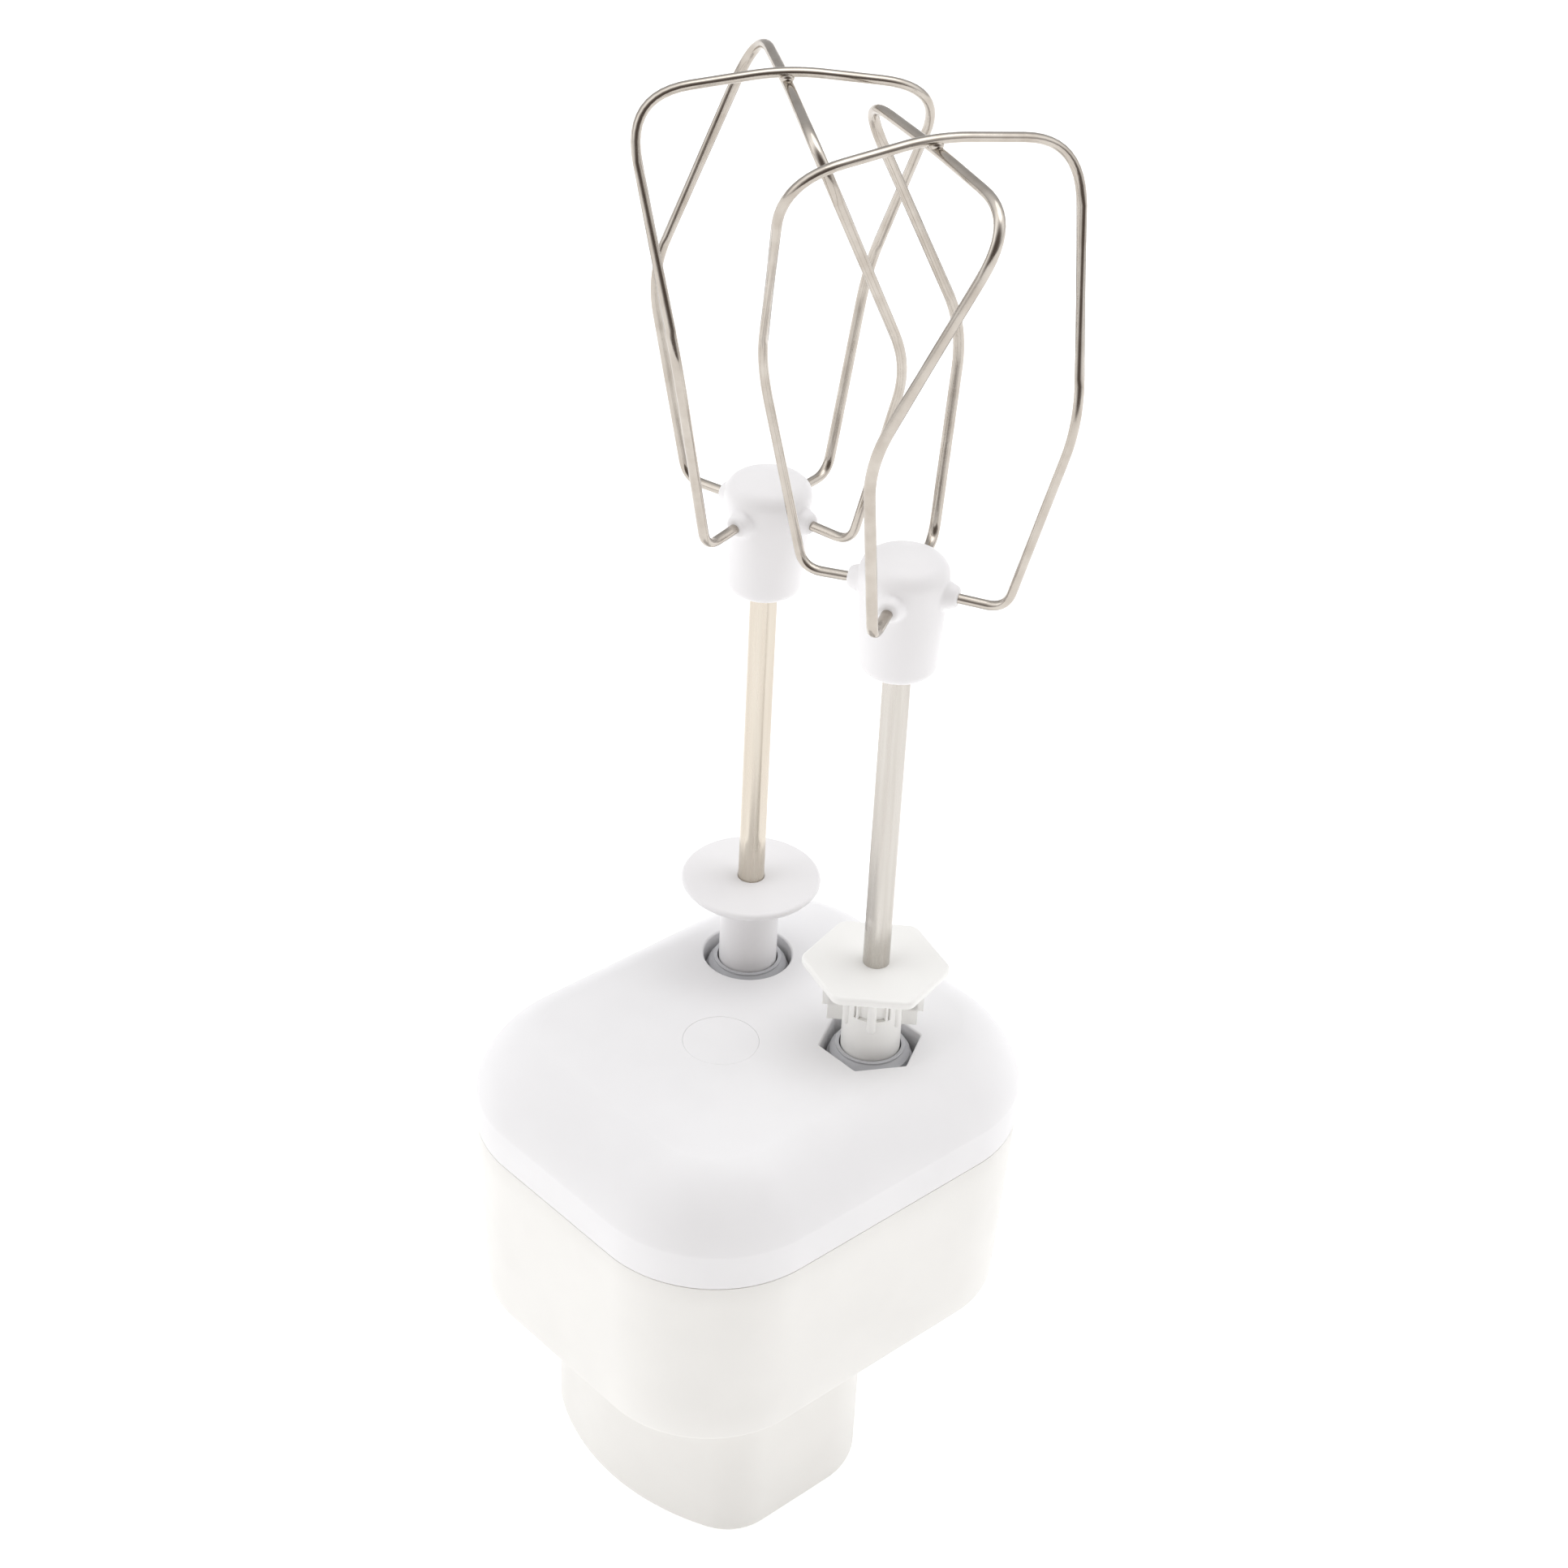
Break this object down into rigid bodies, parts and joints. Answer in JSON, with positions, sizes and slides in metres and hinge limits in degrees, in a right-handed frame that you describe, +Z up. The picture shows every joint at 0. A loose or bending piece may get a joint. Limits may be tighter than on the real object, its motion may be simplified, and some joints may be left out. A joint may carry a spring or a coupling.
{
  "type": "hand mixer",
  "caption": "Compact white hand mixer standing on its grip, with a round and a hexagonal drive socket and two four-wire beaters.",
  "frame": {"origin": "centre of the grip's end face, on which the mixer stands", "axes": "+Z up along the beaters, +Y towards the nose of the head, +X towards the hexagonal socket"},
  "size_m": [0.0863, 0.0946, 0.2794],
  "materials": {
    "cover_plastic": "satin",
    "housing_plastic": "satin",
    "gear_plastic": "satin",
    "dark_plastic": "matte",
    "screw_steel": "satin",
    "bronze": "satin",
    "magnet": "matte",
    "copper_wire": "enamelled",
    "cell_sleeve": "gloss",
    "board": "solder mask",
    "lens": "clear",
    "flap_rubber": "matte",
    "shaft_steel": "satin",
    "wire_steel": "polished"
  },
  "bodies": {
    "casing": {"base_cover": "cover_plastic", "main_housing": "housing_plastic", "grip_shell": "housing_plastic", "end_cap": "housing_plastic", "face_plug": "cover_plastic", "cover_screw": "screw_steel", "grip_screws": "screw_steel", "cap_screws": "screw_steel", "frame_screws": "screw_steel", "bridge_screws": "screw_steel", "gearbox_frame": "dark_plastic", "bearing_bridge": "dark_plastic", "lower_bushes": "bronze", "upper_bushes": "bronze", "worm_tip_bush": "bronze", "motor_can": "screw_steel", "motor_magnets": "magnet", "motor_end_cap": "dark_plastic", "motor_bushes": "bronze", "carbon_brushes": "magnet", "motor_screws": "screw_steel", "battery_cells": "cell_sleeve", "cell_holder": "dark_plastic", "cell_contacts": "screw_steel", "control_board": "board", "board_screws": "screw_steel", "slide_switch": "dark_plastic", "charging_socket": "screw_steel", "status_lens": "lens"},
    "round_drive": {"round_drive_gear": "gear_plastic"},
    "hex_drive": {"hex_drive_gear": "gear_plastic"},
    "rotor": {"motor_shaft": "screw_steel", "armature_core": "magnet", "armature_windings": "copper_wire", "commutator": "bronze", "worm": "screw_steel"},
    "round_beater": {"round_beater_shaft": "shaft_steel", "round_beater_collar": "cover_plastic", "round_beater_hub": "cover_plastic", "round_beater_wire_a": "wire_steel", "round_beater_wire_b": "wire_steel"},
    "hex_beater": {"hex_beater_shaft": "shaft_steel", "hex_beater_collar": "housing_plastic", "hex_beater_hub": "cover_plastic", "hex_beater_wire_a": "wire_steel", "hex_beater_wire_b": "wire_steel"},
    "ejector": {"eject_button": "gear_plastic", "ejector_fork": "dark_plastic", "eject_spring": "screw_steel"},
    "slider": {"speed_slider": "gear_plastic", "switch_lever": "dark_plastic"},
    "flap": {"port_flap": "flap_rubber"}
  },
  "joints": [
    {"name": "round_drive_spin", "type": "hinge", "parent": "casing", "child": "round_drive", "pos_m": [-0.0175, 0.023, 0.068], "axis": [0, 0, 1], "continuous": true},
    {"name": "hex_drive_spin", "type": "hinge", "parent": "casing", "child": "hex_drive", "pos_m": [0.0175, 0.023, 0.068], "axis": [0, 0, 1], "continuous": true},
    {"name": "rotor_spin", "type": "hinge", "parent": "casing", "child": "rotor", "pos_m": [0, 0, 0.068], "axis": [0, 1, 0], "continuous": true},
    {"name": "eject_slide", "type": "slide", "parent": "casing", "child": "ejector", "axis": [0, 0, 1], "range_m": [0, 0.006], "stiffness_N_per_m": 350, "deforming": ["eject_spring"]},
    {"name": "round_beater_lift", "type": "slide", "parent": "round_drive", "child": "round_beater", "axis": [0, 0, 1], "range_m": [0, 0.006]},
    {"name": "hex_beater_lift", "type": "slide", "parent": "hex_drive", "child": "hex_beater", "axis": [0, 0, 1], "range_m": [0, 0.006]},
    {"name": "speed_slide", "type": "slide", "parent": "casing", "child": "slider", "axis": [0, 0, 1], "range_m": [0, 0.008]},
    {"name": "flap_hinge", "type": "hinge", "parent": "casing", "child": "flap", "pos_m": [0, 0.0241, 0.0053], "axis": [-1, 0, 0], "range_deg": [0, 90]}
  ],
  "couplings": [
    {"joint": "hex_drive_spin", "follows": "round_drive_spin", "ratio": -1},
    {"joint": "rotor_spin", "follows": "round_drive_spin", "ratio": -28},
    {"joint": "round_beater_lift", "follows": "eject_slide", "ratio": 1},
    {"joint": "hex_beater_lift", "follows": "eject_slide", "ratio": 1}
  ]
}
